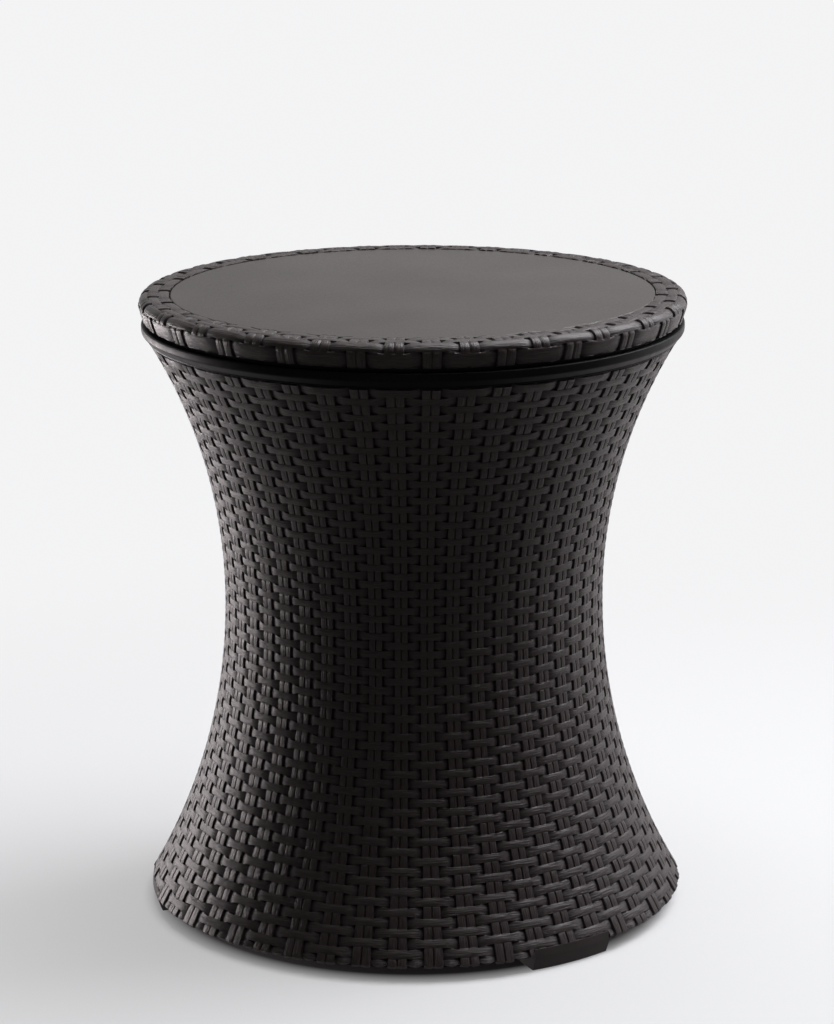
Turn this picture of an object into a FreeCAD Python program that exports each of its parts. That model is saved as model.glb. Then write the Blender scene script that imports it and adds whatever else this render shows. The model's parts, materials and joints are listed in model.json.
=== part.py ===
import FreeCAD, Part
import os
import Sketcher
from FreeCAD import Placement, Rotation, Vector

# Cooler table: a waisted body of two shells, an ice bucket in the upper one, and a round top
# that rises on a post and locks with a twist. Origin on the floor under the middle, +Z up,
# front towards -Y. Lengths in millimetres, angles in degrees.

DIMENSIONS = [
    # Outer form: two arcs that meet at the waist
    ("waist_radius", "173.5"),
    ("waist_height", "287.4"),
    ("upper_flare", "476.5"),
    ("lower_flare", "494.7"),
    ("upper_shell_height", "241.6"),
    ("shell_wall", "4"),
    ("floor_thickness", "4"),
    # Upright stakes of the weave, which stand out from both shells
    ("stake_count", "48"),
    ("stake_angle", "3.75"),
    ("stake_height", "1.8"),
    # Hem of the lower shell and the feet under it
    ("hem_height", "9"),
    ("hem_lean", "21.5"),
    ("curl_start", "20.1"),
    ("curl_radius", "8"),
    ("hem_flange_width", "30"),
    ("hem_flange_thickness", "4"),
    ("foot_bearing", "-54.8"),
    ("foot_count", "3"),
    ("foot_angle", "19.5"),
    ("foot_depth", "26"),
    ("foot_recess", "4"),
    ("notch_depth", "6"),
    ("notch_height", "8"),
    # Joint of the two shells
    ("waist_flange_width", "19.5"),
    ("waist_flange_thickness", "4"),
    ("waist_screw_inset", "6.5"),
    ("waist_screw_count", "6"),
    # Screws, their bosses and their clearances
    ("screw_shank_radius", "1.8"),
    ("screw_head_radius", "3.8"),
    ("screw_head_height", "2.6"),
    ("screw_head_edge", "1"),
    ("screw_recess_radius", "1.3"),
    ("screw_recess_depth", "1.4"),
    ("screw_tip", "2"),
    ("screw_bite", "9"),
    ("boss_radius", "4.6"),
    ("boss_cap", "3"),
    ("running_gap", "0.05"),
    ("fit_gap", "0.3"),
    # Ice bucket and its collar
    ("bucket_wall", "3.5"),
    ("bucket_gap", "8"),
    ("boss_room", "1"),
    ("bucket_taper", "20"),
    ("collar_height", "14"),
    ("collar_overlap", "0.4"),
    ("collar_bulge", "5.3"),
    ("collar_round", "5.5"),
    # Top
    ("seal_width", "6"),
    ("seal_height", "3"),
    ("top_overhang", "2.5"),
    ("top_thickness", "23"),
    ("rim_width", "29.1"),
    ("rim_roll", "10"),
    ("rim_lean", "4"),
    ("rim_wall", "3"),
    ("rim_skin", "4"),
    ("rim_web", "3.5"),
    ("panel_thickness", "4"),
    ("panel_drop", "1"),
    ("panel_gap", "0.4"),
    ("ledge_width", "14"),
    ("ledge_thickness", "4"),
    ("plate_thickness", "3.5"),
    ("rib_count", "12"),
    ("rib_width", "2.5"),
    ("rib_start", "10"),
    ("top_screw_count", "8"),
    # Post, its guide and the twist lock
    ("lift_travel", "254"),
    ("twist_angle", "30"),
    ("post_radius", "20"),
    ("post_wall", "2.5"),
    ("post_tail", "12"),
    ("ring_wall", "4.4"),
    ("ring_length", "28"),
    ("tube_wall", "5.5"),
    ("tube_drop", "31"),
    ("tube_flange_width", "14"),
    ("tube_flange_thickness", "5"),
    ("groove_depth", "2.7"),
    ("gasket_thickness", "2"),
    ("nut_width", "12"),
    ("nut_height", "10"),
    ("bush_length", "30"),
    ("bush_collar", "2"),
    ("stop_gap", "1"),
    ("clip_thickness", "2"),
    ("clip_depth", "1"),
    ("clip_width", "3.5"),
    ("pin_radius", "3"),
    ("pin_space", "0.5"),
    ("plug_length", "28"),
    ("plug_flange", "4"),
    ("cap_gap", "2"),
    ("cap_plug", "8"),
    ("cap_thickness", "6"),
    ("hub_wall", "7"),
    ("hub_gap", "4"),
    ("head_flange_width", "23"),
    ("head_flange_thickness", "6"),
    ("head_screw_count", "4"),
    ("head_pin_radius", "2.5"),
    # Drain
    ("drain_bore", "8"),
    ("drain_wall", "3"),
    ("drain_flange_width", "8"),
    ("drain_flange_thickness", "3.5"),
    ("drain_gasket_thickness", "1.5"),
    ("drain_length", "38"),
    ("drain_nut_width", "7"),
    ("drain_nut_height", "8"),
    ("plug_stem", "18"),
    ("plug_washer", "1.5"),
    ("plug_head_width", "5"),
    ("plug_head_height", "4"),
    ("plug_neck_radius", "5"),
    ("plug_neck_height", "7"),
    ("plug_knob_radius", "9"),
    ("plug_knob_height", "6"),
]

# Sizes that follow from the driving ones
FOLLOWING = [
    # Centres of the two arcs and the radii that lie on them
    ("upper_centre", "dims.waist_radius + dims.upper_flare"),
    ("lower_centre", "dims.waist_radius + dims.lower_flare"),
    ("shell_top", "dims.waist_height + dims.upper_shell_height"),
    ("upper_inner_arc", "dims.upper_flare + dims.shell_wall"),
    ("lower_inner_arc", "dims.lower_flare + dims.shell_wall"),
    ("bucket_outer_arc", "upper_inner_arc + dims.bucket_gap"),
    ("bucket_inner_arc", "bucket_outer_arc + dims.bucket_wall"),
    ("shell_top_radius", "upper_centre - sqrt(dims.upper_flare ^ 2 - dims.upper_shell_height ^ 2)"),
    ("shell_top_inner", "upper_centre - sqrt(upper_inner_arc ^ 2 - dims.upper_shell_height ^ 2)"),
    ("shell_floor", "dims.waist_height + dims.floor_thickness"),
    ("shell_floor_inner", "upper_centre - sqrt(upper_inner_arc ^ 2 - dims.floor_thickness ^ 2)"),
    # Curl of the hem: an arc tangent to the flare, then a straight lean down to the edge
    ("curl_height", "dims.hem_height + dims.curl_start"),
    ("curl_drop", "dims.waist_height - curl_height"),
    ("curl_reach", "sqrt(dims.lower_flare ^ 2 - curl_drop ^ 2)"),
    ("curl_top_radius", "lower_centre - curl_reach"),
    ("curl_centre_radius", "curl_top_radius - dims.curl_radius * curl_reach / dims.lower_flare"),
    ("curl_centre_height", "curl_height - dims.curl_radius * curl_drop / dims.lower_flare"),
    ("curl_low_radius", "curl_centre_radius + dims.curl_radius * cos(dims.hem_lean)"),
    ("curl_low_height", "curl_centre_height - dims.curl_radius * sin(dims.hem_lean)"),
    ("hem_radius", "curl_low_radius - (curl_low_height - dims.hem_height) * tan(dims.hem_lean)"),
    ("hem_flange_top", "dims.hem_height + dims.hem_flange_thickness"),
    ("hem_flange_outer", "hem_radius + dims.hem_flange_thickness * tan(dims.hem_lean) - dims.shell_wall"),
    ("hem_flange_inner", "hem_radius - dims.hem_flange_width"),
    ("curl_inner_radius", "lower_centre - sqrt(lower_inner_arc ^ 2 - curl_drop ^ 2)"),
    # Ground between the stakes: the outer form, set in by the stakes' height
    ("gap_angle", "360 / dims.stake_count - dims.stake_angle"),
    ("upper_ground_arc", "dims.upper_flare + dims.stake_height"),
    ("lower_ground_arc", "dims.lower_flare + dims.stake_height"),
    ("waist_ground", "dims.waist_radius - dims.stake_height"),
    ("shell_top_ground", "upper_centre - sqrt(upper_ground_arc ^ 2 - dims.upper_shell_height ^ 2)"),
    ("curl_ground", "dims.curl_radius - dims.stake_height"),
    ("curl_top_ground", "curl_centre_radius + curl_ground * curl_reach / dims.lower_flare"),
    ("curl_ground_height", "curl_centre_height + curl_ground * curl_drop / dims.lower_flare"),
    ("curl_low_ground", "curl_centre_radius + curl_ground * cos(dims.hem_lean)"),
    ("curl_ground_low", "curl_centre_height - curl_ground * sin(dims.hem_lean)"),
    ("hem_ground", "curl_low_ground - curl_ground_low * tan(dims.hem_lean)"),
    ("hem_clear", "curl_centre_radius + dims.curl_radius + dims.shell_wall"),
    ("waist_flange_low", "dims.waist_height - dims.waist_flange_thickness"),
    ("waist_flange_inner", "dims.waist_radius - dims.shell_wall - dims.waist_flange_width"),
    ("waist_flange_outer", "lower_centre - sqrt(lower_inner_arc ^ 2 - dims.waist_flange_thickness ^ 2)"),
    # Feet
    ("notch_radius", "hem_radius - dims.notch_depth"),
    ("notch_top", "dims.hem_height + dims.notch_height"),
    ("notch_angle", "dims.foot_angle + 2 * dims.fit_gap / hem_radius * 180 / pi"),
    ("foot_inner", "hem_radius - dims.foot_depth"),
    ("foot_sole_radius", "hem_radius - dims.hem_height * tan(dims.hem_lean)"),
    ("foot_tab_top", "notch_top - dims.fit_gap"),
    ("foot_tab_outer", "hem_radius + (foot_tab_top - dims.hem_height) * tan(dims.hem_lean)"),
    ("foot_tab_inner", "notch_radius + dims.fit_gap"),
    ("foot_ring", "(foot_inner + notch_radius) / 2"),
    # Screws
    ("boss_height", "dims.screw_bite + dims.boss_cap"),
    ("pilot_radius", "dims.screw_shank_radius + dims.running_gap"),
    ("pilot_depth", "dims.screw_bite + dims.fit_gap"),
    ("clear_radius", "dims.screw_shank_radius + dims.fit_gap"),
    ("head_clear_radius", "dims.screw_head_radius + dims.fit_gap"),
    ("waist_ring", "dims.waist_radius - dims.shell_wall - dims.waist_screw_inset"),
    # Ice bucket
    ("bucket_inside", "shell_floor + dims.bucket_wall"),
    ("bucket_foot_radius", "waist_ring - dims.boss_radius - dims.boss_room"),
    ("bucket_foot_inner", "bucket_foot_radius - dims.bucket_wall"),
    ("bucket_step", "dims.waist_height + boss_height + dims.boss_room"),
    ("bucket_cone_top", "bucket_step + dims.bucket_taper"),
    ("cone_rise", "bucket_cone_top - dims.waist_height"),
    ("bucket_cone_radius", "upper_centre - sqrt(bucket_outer_arc ^ 2 - cone_rise ^ 2)"),
    ("bucket_cone_inner", "upper_centre - sqrt(bucket_inner_arc ^ 2 - cone_rise ^ 2)"),
    ("lip_top", "shell_top + dims.collar_height"),
    ("lip_rise", "lip_top - dims.waist_height"),
    ("lip_inner", "upper_centre - sqrt(bucket_inner_arc ^ 2 - lip_rise ^ 2)"),
    ("channel_top", "lip_top - dims.bucket_wall"),
    ("channel_rise", "channel_top - dims.waist_height"),
    ("channel_inner", "upper_centre - sqrt(bucket_outer_arc ^ 2 - channel_rise ^ 2)"),
    ("collar_foot_radius", "shell_top_radius + dims.collar_overlap"),
    ("collar_radius", "collar_foot_radius + dims.collar_bulge"),
    ("collar_shoulder", "lip_top - dims.collar_round"),
    ("lip_outer", "collar_radius - dims.collar_round"),
    ("skirt_inner", "collar_foot_radius - dims.bucket_wall"),
    # Top
    ("seal_radius", "(lip_inner + lip_outer) / 2"),
    ("top_base", "lip_top + dims.seal_height"),
    ("top_height", "top_base + dims.top_thickness"),
    ("top_radius", "collar_radius + dims.top_overhang"),
    ("rim_lip_radius", "top_radius - dims.rim_lean"),
    ("rim_inner", "rim_lip_radius - dims.rim_wall"),
    ("rim_soffit", "top_height - dims.rim_skin"),
    ("roll_shoulder", "top_height - dims.rim_roll"),
    ("panel_radius", "top_radius - dims.rim_width"),
    ("panel_seat_radius", "panel_radius + dims.panel_gap"),
    ("panel_top", "top_height - dims.panel_drop"),
    ("panel_base", "panel_top - dims.panel_thickness"),
    ("ledge_base", "panel_base - dims.ledge_thickness"),
    ("ledge_inner", "panel_radius - dims.ledge_width"),
    ("web_radius", "panel_seat_radius + dims.rim_web"),
    ("plate_radius", "rim_inner - dims.fit_gap"),
    ("plate_top", "top_base + dims.plate_thickness"),
    ("top_ring", "(ledge_inner + web_radius) / 2"),
    ("top_screw_bite", "ledge_base - plate_top - dims.boss_cap"),
    # Guide column and post, worked out from the raised stop downwards
    ("tube_bore", "dims.post_radius + dims.ring_wall + 2 * dims.running_gap"),
    ("tube_radius", "tube_bore + dims.tube_wall"),
    ("groove_radius", "tube_bore + dims.groove_depth"),
    ("groove_half", "dims.pin_radius + dims.fit_gap"),
    ("groove_side", "asin(groove_half / tube_bore) / 1 deg"),
    ("tube_top", "lip_top - dims.tube_drop"),
    ("bush_bottom", "tube_top - dims.bush_length"),
    ("clip_top", "bush_bottom - dims.stop_gap - dims.lift_travel"),
    ("clip_bottom", "clip_top - dims.clip_thickness"),
    ("ring_top", "clip_bottom - dims.fit_gap"),
    ("ring_bottom", "ring_top - dims.ring_length"),
    ("pin_height", "ring_bottom - dims.pin_space - dims.pin_radius"),
    ("post_bottom", "pin_height - dims.pin_radius - dims.post_tail"),
    ("post_inner", "dims.post_radius - dims.post_wall"),
    ("post_foot_bottom", "post_bottom - dims.plug_flange"),
    ("cap_top", "post_foot_bottom - dims.cap_gap"),
    ("tube_bottom", "cap_top - dims.cap_plug"),
    ("tube_flange_radius", "tube_radius + dims.tube_flange_width"),
    ("tube_flange_base", "bucket_inside + dims.gasket_thickness"),
    ("floor_hole_radius", "tube_radius + dims.fit_gap"),
    ("nut_radius", "tube_radius + dims.nut_width"),
    ("hub_bottom", "tube_top + dims.bush_collar + dims.hub_gap"),
    ("hub_radius", "dims.post_radius + dims.hub_wall"),
    ("head_base", "top_base - dims.head_flange_thickness"),
    ("head_radius", "hub_radius + dims.head_flange_width"),
    ("head_ring", "(hub_radius + head_radius) / 2"),
    ("head_clamp", "dims.head_flange_thickness + dims.plate_thickness"),
    ("head_pin_height", "(hub_bottom + head_base) / 2"),
    ("rib_inner", "head_radius + dims.rib_start"),
    ("rib_outer", "ledge_inner - dims.fit_gap"),
    # Drain
    ("drain_offset", "(tube_flange_radius + bucket_foot_inner) / 2"),
    ("drain_radius", "dims.drain_bore + dims.drain_wall"),
    ("drain_hole_radius", "drain_radius + dims.fit_gap"),
    ("drain_flange_radius", "drain_radius + dims.drain_flange_width"),
    ("drain_flange_base", "bucket_inside + dims.drain_gasket_thickness"),
    ("drain_top", "drain_flange_base + dims.drain_flange_thickness"),
    ("drain_stem_radius", "dims.drain_bore - dims.running_gap"),
    ("drain_head_radius", "dims.drain_bore + dims.plug_head_width"),
]

# Smallest volume, in cubic millimetres, that counts as a cut
LEAST_CUT = 0.001

doc = FreeCAD.newDocument("cooler_table")
dims = doc.addObject("Spreadsheet::Sheet", "dims")
sizes = doc.addObject("Spreadsheet::Sheet", "sizes")
subparts = []


def fill_sheets():
    """Driving dimensions as plain numbers, and what follows from them as formulas."""
    for row, (name, value) in enumerate(DIMENSIONS, start=1):
        dims.set(f"A{row}", name)
        dims.set(f"B{row}", value)
        dims.setAlias(f"B{row}", name)
    doc.recompute()
    for row, (name, formula) in enumerate(FOLLOWING, start=1):
        sizes.set(f"A{row}", name)
        sizes.set(f"B{row}", f"={formula}")
        sizes.setAlias(f"B{row}", name)
        doc.recompute()


def value(formula):
    """What a formula is worth now, for a sketch's first drawing and for loop counts."""
    return float(dims.evalExpression(formula))


def origin_feature(body, role):
    return next(item for item in body.Origin.OriginFeatures if item.Role == role)


def add_body(label):
    body = doc.addObject("PartDesign::Body", label)
    body.Label = label
    subparts.append(body)
    return body


def add_subpart(item, label):
    item.Label = label
    subparts.append(item)
    return item


def place(item, x=None, y=None, z=None):
    for axis, formula in (("x", x), ("y", y), ("z", z)):
        if formula:
            item.setExpression(f"Placement.Base.{axis}", formula)


def turn(item, formula, path="Placement", axis=Vector(0, 0, 1)):
    """Turn an object, or a sketch's attachment, about an axis by a formula's angle."""
    start = getattr(item, path)
    setattr(item, path, Placement(start.Base, Rotation(axis, 1)))
    item.setExpression(f"{path}.Rotation.Angle", formula)


def new_sketch(body, role, height=None, ring=None, bearing=None):
    """Sketch on an origin plane of its body, lifted, moved out along X or turned about Z."""
    sketch = body.newObject("Sketcher::SketchObject", f"{body.Label}_sketch")
    sketch.AttachmentSupport = [(origin_feature(body, role), "")]
    sketch.MapMode = "FlatFace"
    if bearing:
        upright = Vector(0, 0, 1) if role == "XY_Plane" else Vector(0, 1, 0)
        turn(sketch, bearing, "AttachmentOffset", upright)
    if height:
        sketch.setExpression("AttachmentOffset.Base.z", height)
    if ring:
        sketch.setExpression("AttachmentOffset.Base.x", ring)
    return sketch


def tie(sketch, kind, item, point, formula):
    """Dimension from the sketch's origin to a point, or of a curve, bound to a formula."""
    if kind == "Radius":
        constraint = Sketcher.Constraint(kind, item, value(formula))
    else:
        constraint = Sketcher.Constraint(kind, -1, 1, item, point, value(formula))
    index = sketch.addConstraint(constraint)
    name = f"{kind.lower()}_{index}"
    sketch.renameConstraint(index, name)
    sketch.setExpression(f"Constraints.{name}", formula)


def arc_between(start, end, radius):
    """Counter-clockwise arc under a half circle."""
    chord = end - start
    across = Vector(-chord.y, chord.x, 0).normalize()
    centre = (start + end) / 2 + across * max(radius ** 2 - (chord.Length / 2) ** 2, 0) ** 0.5
    return Part.Arc(start, centre - across * radius, end)


def draw_outline(sketch, corners):
    """Closed outline through corners of two formulas each. A corner's third and fourth items
    are the radius of the arc that leads on from it and the side that the centre lies on."""
    points = [Vector(value(corner[0]), value(corner[1]), 0) for corner in corners]
    ends = []
    for index, corner in enumerate(corners):
        start, end = points[index], points[(index + 1) % len(points)]
        if len(corner) == 2:
            sketch.addGeometry(Part.LineSegment(start, end), False)
            ends.append((1, 2))
        elif corner[3] == "left":
            sketch.addGeometry(arc_between(start, end, value(corner[2])), False)
            ends.append((1, 2))
        else:
            sketch.addGeometry(arc_between(end, start, value(corner[2])), False)
            ends.append((2, 1))
    for index, corner in enumerate(corners):
        following = (index + 1) % len(corners)
        sketch.addConstraint(
            Sketcher.Constraint("Coincident", index, ends[index][1], following, ends[following][0]))
    for index, corner in enumerate(corners):
        point = ends[index][0]
        for kind, axis, formula in (("DistanceX", -2, corner[0]), ("DistanceY", -1, corner[1])):
            if formula == "0":
                sketch.addConstraint(Sketcher.Constraint("PointOnObject", index, point, axis))
            else:
                tie(sketch, kind, index, point, formula)
        if len(corner) > 2:
            tie(sketch, "Radius", index, point, corner[2])


def check_cut(feature, before):
    doc.recompute()
    if feature.Shape.Volume > before - LEAST_CUT:
        raise RuntimeError(f"{feature.Label} takes nothing away")


def revolve(body, corners, ring=None, bearing=None, angle=None, cut=False):
    """Turn an outline of (radius, height) corners about Z, or about a line out along X."""
    sketch = new_sketch(body, "XZ_Plane", ring=ring, bearing=bearing)
    draw_outline(sketch, corners)
    before = body.Shape.Volume if cut else 0
    kind = "PartDesign::Groove" if cut else "PartDesign::Revolution"
    feature = body.newObject(kind, f"{body.Label}_turned")
    feature.Profile = sketch
    feature.ReferenceAxis = (sketch, ["V_Axis"])
    feature.Angle = 360
    if angle:
        feature.Midplane = True
        feature.setExpression("Angle", angle)
    if cut:
        check_cut(feature, before)
    doc.recompute()
    return feature


def round_feature(body, radius, base, length, ring=None, bearing=None, side=None, cut=False):
    """Round boss or hole that rises from a height, in the middle or out along X or along Y."""
    sketch = new_sketch(body, "XY_Plane", height=base, bearing=bearing)
    centre = Vector(value(ring) if ring else 0, value(side) if side else 0, 0)
    sketch.addGeometry(Part.Circle(centre, Vector(0, 0, 1), value(radius)), False)
    for kind, axis, formula in (("DistanceX", -2, ring), ("DistanceY", -1, side)):
        if formula:
            tie(sketch, kind, 0, 3, formula)
        else:
            sketch.addConstraint(Sketcher.Constraint("PointOnObject", 0, 3, axis))
    tie(sketch, "Radius", 0, 3, radius)
    before = body.Shape.Volume if cut else 0
    feature = body.newObject("PartDesign::Pocket" if cut else "PartDesign::Pad", f"{body.Label}_round")
    feature.Profile = sketch
    feature.setExpression("Length", length)
    feature.Reversed = cut
    if cut:
        check_cut(feature, before)
    doc.recompute()
    return feature


def repeat(body, features, count):
    """Repeat features evenly about Z."""
    pattern = body.newObject("PartDesign::PolarPattern", f"{body.Label}_pattern")
    pattern.Originals = features
    pattern.Axis = (origin_feature(body, "Z_Axis"), [""])
    pattern.Angle = 360
    pattern.setExpression("Occurrences", count)
    body.Tip = pattern
    doc.recompute()
    return pattern


def cylinder(radius, height, z=None, angle=None):
    item = doc.addObject("Part::Cylinder", "rod")
    item.setExpression("Radius", radius)
    item.setExpression("Height", height)
    place(item, z=z)
    if angle:
        item.setExpression("Angle", angle)
    return item


def cross_rod(radius, half_length, z):
    """Rod along X, centred on the axis at a height."""
    item = cylinder(radius, f"2 * {half_length}")
    item.Placement = Placement(Vector(), Rotation(Vector(0, 1, 0), 90))
    place(item, x=f"-({half_length})", z=z)
    return item


def fuse(items):
    item = doc.addObject("Part::MultiFuse", "joined")
    item.Shapes = items
    return item


def cut(label, base, tools):
    item = doc.addObject("Part::Cut", label)
    item.Base = base
    item.Tool = tools[0] if len(tools) == 1 else fuse(tools)
    return add_subpart(item, label)


def ring_of(label, outer, inner, base, height):
    """Plain ring about Z."""
    return cut(label, cylinder(outer, height, base), [cylinder(inner, height, base)])


def screw_group(label, ring, count, seat, length, bearing=None):
    """Screws driven upwards on a circle about Z, their heads under the height of their seat."""
    body = add_body(label)
    screw = revolve(body, [
        ("0", "dims.screw_recess_depth - dims.screw_head_height"),
        ("dims.screw_recess_radius", "dims.screw_recess_depth - dims.screw_head_height"),
        ("dims.screw_recess_radius", "-dims.screw_head_height"),
        ("dims.screw_head_radius - dims.screw_head_edge", "-dims.screw_head_height"),
        ("dims.screw_head_radius", "dims.screw_head_edge - dims.screw_head_height"),
        ("dims.screw_head_radius", "0"),
        ("dims.screw_shank_radius", "0"),
        ("dims.screw_shank_radius", f"{length} - dims.screw_tip"),
        ("0", length),
    ], ring=ring)
    repeat(body, [screw], count)
    place(body, z=seat)
    if bearing:
        turn(body, bearing)
    return body


def lower_body_shell():
    """Flared lower half: waist flange, stakes, curled hem, notches and bosses for the feet."""
    body = add_body("lower_body_shell")
    revolve(body, [
        ("sizes.waist_flange_inner", "dims.waist_height"),
        ("sizes.waist_flange_inner", "sizes.waist_flange_low"),
        ("sizes.waist_flange_outer", "sizes.waist_flange_low", "sizes.lower_inner_arc", "left"),
        ("sizes.curl_inner_radius", "sizes.curl_height"),
        ("sizes.hem_flange_outer", "sizes.hem_flange_top"),
        ("sizes.hem_flange_inner", "sizes.hem_flange_top"),
        ("sizes.hem_flange_inner", "dims.hem_height"),
        ("sizes.hem_radius", "dims.hem_height"),
        ("sizes.curl_low_radius", "sizes.curl_low_height", "dims.curl_radius", "left"),
        ("sizes.curl_top_radius", "sizes.curl_height", "dims.lower_flare", "right"),
        ("dims.waist_radius", "dims.waist_height"),
    ])
    gap = revolve(body, [
        ("sizes.hem_ground", "0"),
        ("sizes.curl_low_ground", "sizes.curl_ground_low", "sizes.curl_ground", "left"),
        ("sizes.curl_top_ground", "sizes.curl_ground_height", "sizes.lower_ground_arc", "right"),
        ("sizes.waist_ground", "dims.waist_height"),
        ("sizes.hem_clear", "dims.waist_height"),
        ("sizes.hem_clear", "0"),
    ], angle="sizes.gap_angle", cut=True)
    repeat(body, [gap], "dims.stake_count")
    waist_hole = round_feature(body, "sizes.clear_radius", "sizes.waist_flange_low",
                               "dims.waist_flange_thickness", ring="sizes.waist_ring", cut=True)
    repeat(body, [waist_hole], "dims.waist_screw_count")
    notch_outer = "sizes.hem_radius + dims.shell_wall + dims.notch_height"
    notch = revolve(body, [
        ("sizes.notch_radius", "0"),
        (notch_outer, "0"),
        (notch_outer, "sizes.notch_top"),
        ("sizes.notch_radius", "sizes.notch_top"),
    ], bearing="dims.foot_bearing", angle="sizes.notch_angle", cut=True)
    repeat(body, [notch], "dims.foot_count")
    boss = round_feature(body, "dims.boss_radius", "dims.hem_height", "sizes.boss_height",
                         ring="sizes.foot_ring", bearing="dims.foot_bearing")
    repeat(body, [boss], "dims.foot_count")
    pilot = round_feature(body, "sizes.pilot_radius", "dims.hem_height", "sizes.pilot_depth",
                          ring="sizes.foot_ring", bearing="dims.foot_bearing", cut=True)
    repeat(body, [pilot], "dims.foot_count")


def upper_body_shell():
    """Flared upper half with stakes: a pot whose floor carries the bucket and the waist screws."""
    body = add_body("upper_body_shell")
    revolve(body, [
        ("sizes.floor_hole_radius", "dims.waist_height"),
        ("dims.waist_radius", "dims.waist_height", "dims.upper_flare", "right"),
        ("sizes.shell_top_radius", "sizes.shell_top"),
        ("sizes.shell_top_inner", "sizes.shell_top", "sizes.upper_inner_arc", "left"),
        ("sizes.shell_floor_inner", "sizes.shell_floor"),
        ("sizes.floor_hole_radius", "sizes.shell_floor"),
    ])
    gap = revolve(body, [
        ("sizes.waist_ground", "dims.waist_height", "sizes.upper_ground_arc", "right"),
        ("sizes.shell_top_ground", "sizes.shell_top"),
        ("sizes.collar_radius", "sizes.shell_top"),
        ("sizes.collar_radius", "dims.waist_height"),
    ], angle="sizes.gap_angle", cut=True)
    repeat(body, [gap], "dims.stake_count")
    boss = round_feature(body, "dims.boss_radius", "dims.waist_height", "sizes.boss_height",
                         ring="sizes.waist_ring")
    repeat(body, [boss], "dims.waist_screw_count")
    pilot = round_feature(body, "sizes.pilot_radius", "dims.waist_height", "sizes.pilot_depth",
                          ring="sizes.waist_ring", cut=True)
    repeat(body, [pilot], "dims.waist_screw_count")
    round_feature(body, "sizes.drain_hole_radius", "dims.waist_height", "dims.floor_thickness",
                  side="sizes.drain_offset", cut=True)


def feet():
    """Plain feet: a pad under the hem and a tab that fills the notch."""
    for number in range(int(value("dims.foot_count"))):
        body = add_body(f"foot_{number + 1}")
        revolve(body, [
            ("sizes.foot_inner", "0"),
            ("sizes.foot_sole_radius", "0"),
            ("sizes.foot_tab_outer", "sizes.foot_tab_top"),
            ("sizes.foot_tab_inner", "sizes.foot_tab_top"),
            ("sizes.foot_tab_inner", "dims.hem_height"),
            ("sizes.foot_inner", "dims.hem_height"),
        ], angle="dims.foot_angle")
        round_feature(body, "sizes.head_clear_radius", "0", "dims.foot_recess",
                      ring="sizes.foot_ring", cut=True)
        round_feature(body, "sizes.clear_radius", "0", "dims.hem_height",
                      ring="sizes.foot_ring", cut=True)
        turn(body, f"dims.foot_bearing + {number} * 360 / dims.foot_count")


def ice_bucket():
    """Liner that stands on the upper shell's floor, with the smooth collar as its lip."""
    body = add_body("ice_bucket")
    revolve(body, [
        ("sizes.floor_hole_radius", "sizes.shell_floor"),
        ("sizes.bucket_foot_radius", "sizes.shell_floor"),
        ("sizes.bucket_foot_radius", "sizes.bucket_step"),
        ("sizes.bucket_cone_radius", "sizes.bucket_cone_top", "sizes.bucket_outer_arc", "right"),
        ("sizes.channel_inner", "sizes.channel_top"),
        ("sizes.skirt_inner", "sizes.channel_top"),
        ("sizes.skirt_inner", "sizes.shell_top"),
        ("sizes.collar_foot_radius", "sizes.shell_top"),
        ("sizes.collar_radius", "sizes.collar_shoulder", "dims.collar_round", "left"),
        ("sizes.lip_outer", "sizes.lip_top"),
        ("sizes.lip_inner", "sizes.lip_top", "sizes.bucket_inner_arc", "left"),
        ("sizes.bucket_cone_inner", "sizes.bucket_cone_top"),
        ("sizes.bucket_foot_inner", "sizes.bucket_step"),
        ("sizes.bucket_foot_inner", "sizes.bucket_inside"),
        ("sizes.floor_hole_radius", "sizes.bucket_inside"),
    ])
    round_feature(body, "sizes.drain_hole_radius", "sizes.shell_floor", "dims.bucket_wall",
                  side="sizes.drain_offset", cut=True)


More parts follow.
